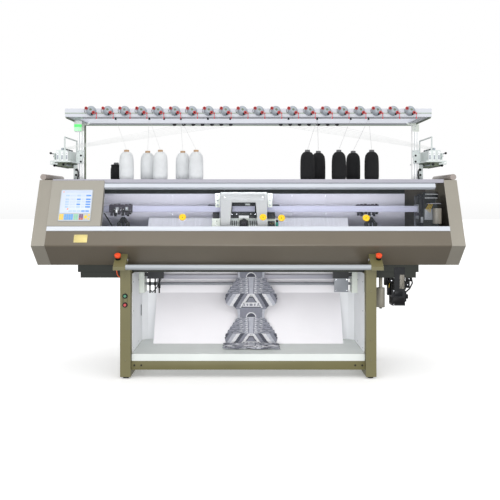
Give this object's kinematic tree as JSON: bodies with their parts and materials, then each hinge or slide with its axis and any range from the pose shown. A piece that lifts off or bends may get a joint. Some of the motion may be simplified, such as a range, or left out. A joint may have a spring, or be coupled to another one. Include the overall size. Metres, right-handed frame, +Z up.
{
  "type": "flat knitting machine",
  "caption": "Free-standing flat knitting machine: V-bed under clear sliding covers, carriage, yarn rack with cones above, control panel, and fabric take-down into a tray.",
  "frame": {"origin": "on the floor under the middle of the whole machine", "axes": "+X along the needle beds to the operator's right, +Y to the back, +Z up"},
  "size_m": [2.79, 0.94, 1.7499],
  "materials": {
    "olive_paint": "satin",
    "black_rubber": "matt",
    "dark_paint": "satin",
    "cast_grey": "satin",
    "bed_steel": "ground",
    "bright_steel": "polished",
    "taupe_paint": "satin",
    "beige_paint": "satin",
    "tube_grey": "satin",
    "light_grey_paint": "satin",
    "track_aluminium": "satin",
    "clear_sheet": "clear",
    "housing_paint": "satin",
    "panel_plastic": "satin",
    "pale_paint": "satin",
    "white_paint": "satin",
    "black_plastic": "matt",
    "black_steel": "satin",
    "green_plastic": "gloss",
    "red_plastic": "gloss",
    "black_paint": "satin",
    "knit": "knitted",
    "tensioner_grey": "satin",
    "lamp_green": "translucent",
    "cast_white": "satin",
    "white_yarn": "wound yarn",
    "black_yarn": "wound yarn",
    "paper_tube": "paper",
    "roller_rubber": "matt",
    "roller_grey": "satin",
    "roller_white": "satin"
  },
  "bodies": {
    "frame": {"bar_brackets": "olive_paint", "base_pan": "dark_paint", "bay_panels": "white_paint", "bed_girder": "dark_paint", "bed_rails": "bright_steel", "bed_supports": "cast_grey", "black_cones": "black_yarn", "button_collars": "black_plastic", "cone_cores": "paper_tube", "cone_table": "light_grey_paint", "control_housing": "housing_paint", "cover_tracks": "track_aluminium", "cross_beams": "olive_paint", "end_cap_left": "beige_paint", "end_cap_right": "beige_paint", "end_drive_unit": "black_plastic", "fabric_board": "white_paint", "fabric_tray": "white_paint", "front_fascia": "taupe_paint", "grab_tubes": "tube_grey", "inner_back_plate": "light_grey_paint", "knitted_fabric": "knit", "levelling_feet": "black_rubber", "needle_bed_front": "bed_steel", "needle_bed_rear": "bed_steel", "rack_eyelets": "black_plastic", "rack_frame": "white_paint", "rack_posts": "white_paint", "rear_cover": "taupe_paint", "roller_bearings": "cast_grey", "service_lines": "black_rubber", "side_feeder_left": "cast_white", "side_feeder_right": "cast_white", "side_frame_left": "olive_paint", "side_frame_right": "olive_paint", "signal_lamp": "lamp_green", "suction_filter": "tube_grey", "takedown_motors": "black_paint", "tensioners": "tensioner_grey", "touch_panel": "panel_plastic", "white_cones": "white_yarn", "yarn_strands": "white_yarn"},
    "carriage": {"carriage_boxes": "pale_paint", "carriage_bow": "white_paint", "carriage_feeder_block": "black_plastic"},
    "yarn_carrier_left": {"yarn_carrier_left": "black_steel"},
    "yarn_carrier_right": {"yarn_carrier_right": "black_steel"},
    "cover_left": {"cover_left": "clear_sheet"},
    "cover_right": {"cover_right": "clear_sheet"},
    "start_bar": {"start_bar": "bright_steel"},
    "estop_left": {"estop_left": "red_plastic"},
    "estop_right": {"estop_right": "red_plastic"},
    "green_button": {"green_button": "green_plastic"},
    "red_button": {"red_button": "red_plastic"},
    "takedown_roller": {"takedown_roller": "roller_rubber"},
    "pressure_roller": {"pressure_roller": "roller_grey"},
    "auxiliary_roller": {"auxiliary_roller": "roller_white"},
    "feeder_roller_left": {"feeder_roller_left": "bright_steel"},
    "feeder_roller_right": {"feeder_roller_right": "bright_steel"},
    "tension_arms": {"tension_arms": "bright_steel"}
  },
  "joints": [
    {"name": "carriage_travel", "type": "slide", "parent": "frame", "child": "carriage", "axis": [1, 0, 0], "range_m": [-0.78, 0.84]},
    {"name": "left_carrier_travel", "type": "slide", "parent": "frame", "child": "yarn_carrier_left", "axis": [1, 0, 0], "range_m": [-0.18, 1.8]},
    {"name": "right_carrier_travel", "type": "slide", "parent": "frame", "child": "yarn_carrier_right", "axis": [1, 0, 0], "range_m": [-1.75, 0.22]},
    {"name": "left_cover_slide", "type": "slide", "parent": "frame", "child": "cover_left", "axis": [1, 0, 0], "range_m": [0, 1.05]},
    {"name": "right_cover_slide", "type": "slide", "parent": "frame", "child": "cover_right", "axis": [1, 0, 0], "range_m": [-1.05, 0]},
    {"name": "start_bar_turn", "type": "hinge", "parent": "frame", "child": "start_bar", "pos_m": [0, -0.45, 0.718], "axis": [1, 0, 0], "range_deg": [-20, 20]},
    {"name": "left_stop_press", "type": "slide", "parent": "frame", "child": "estop_left", "axis": [0, 0.5547, -0.8321], "range_m": [0, 0.005], "stiffness_N_per_m": 800, "springref_m": -0.003},
    {"name": "right_stop_press", "type": "slide", "parent": "frame", "child": "estop_right", "axis": [0, 0.5547, -0.8321], "range_m": [0, 0.005], "stiffness_N_per_m": 800, "springref_m": -0.003},
    {"name": "green_button_press", "type": "slide", "parent": "frame", "child": "green_button", "axis": [0, 1, 0], "range_m": [0, 0.004], "stiffness_N_per_m": 800, "springref_m": -0.003},
    {"name": "red_button_press", "type": "slide", "parent": "frame", "child": "red_button", "axis": [0, 1, 0], "range_m": [0, 0.004], "stiffness_N_per_m": 800, "springref_m": -0.003},
    {"name": "takedown_turn", "type": "hinge", "parent": "frame", "child": "takedown_roller", "pos_m": [0, 0.0575, 0.686], "axis": [1, 0, 0], "continuous": true},
    {"name": "pressure_turn", "type": "hinge", "parent": "frame", "child": "pressure_roller", "pos_m": [0, 0.0115, 0.686], "axis": [1, 0, 0], "continuous": true},
    {"name": "auxiliary_turn", "type": "hinge", "parent": "frame", "child": "auxiliary_roller", "pos_m": [0, 0.0415, 0.561], "axis": [1, 0, 0], "continuous": true},
    {"name": "left_feeder_turn", "type": "hinge", "parent": "frame", "child": "feeder_roller_left", "pos_m": [-1.318, 0, 1.395], "axis": [0, 1, 0], "continuous": true},
    {"name": "right_feeder_turn", "type": "hinge", "parent": "frame", "child": "feeder_roller_right", "pos_m": [1.318, 0, 1.395], "axis": [0, 1, 0], "continuous": true},
    {"name": "tension_arm_swing", "type": "hinge", "parent": "frame", "child": "tension_arms", "pos_m": [0, -0.42, 1.7], "axis": [1, 0, 0], "range_deg": [-20, 20]}
  ],
  "couplings": [
    {"joint": "pressure_turn", "follows": "takedown_turn", "ratio": -1.5625},
    {"joint": "auxiliary_turn", "follows": "takedown_turn", "ratio": 2.7778}
  ]
}
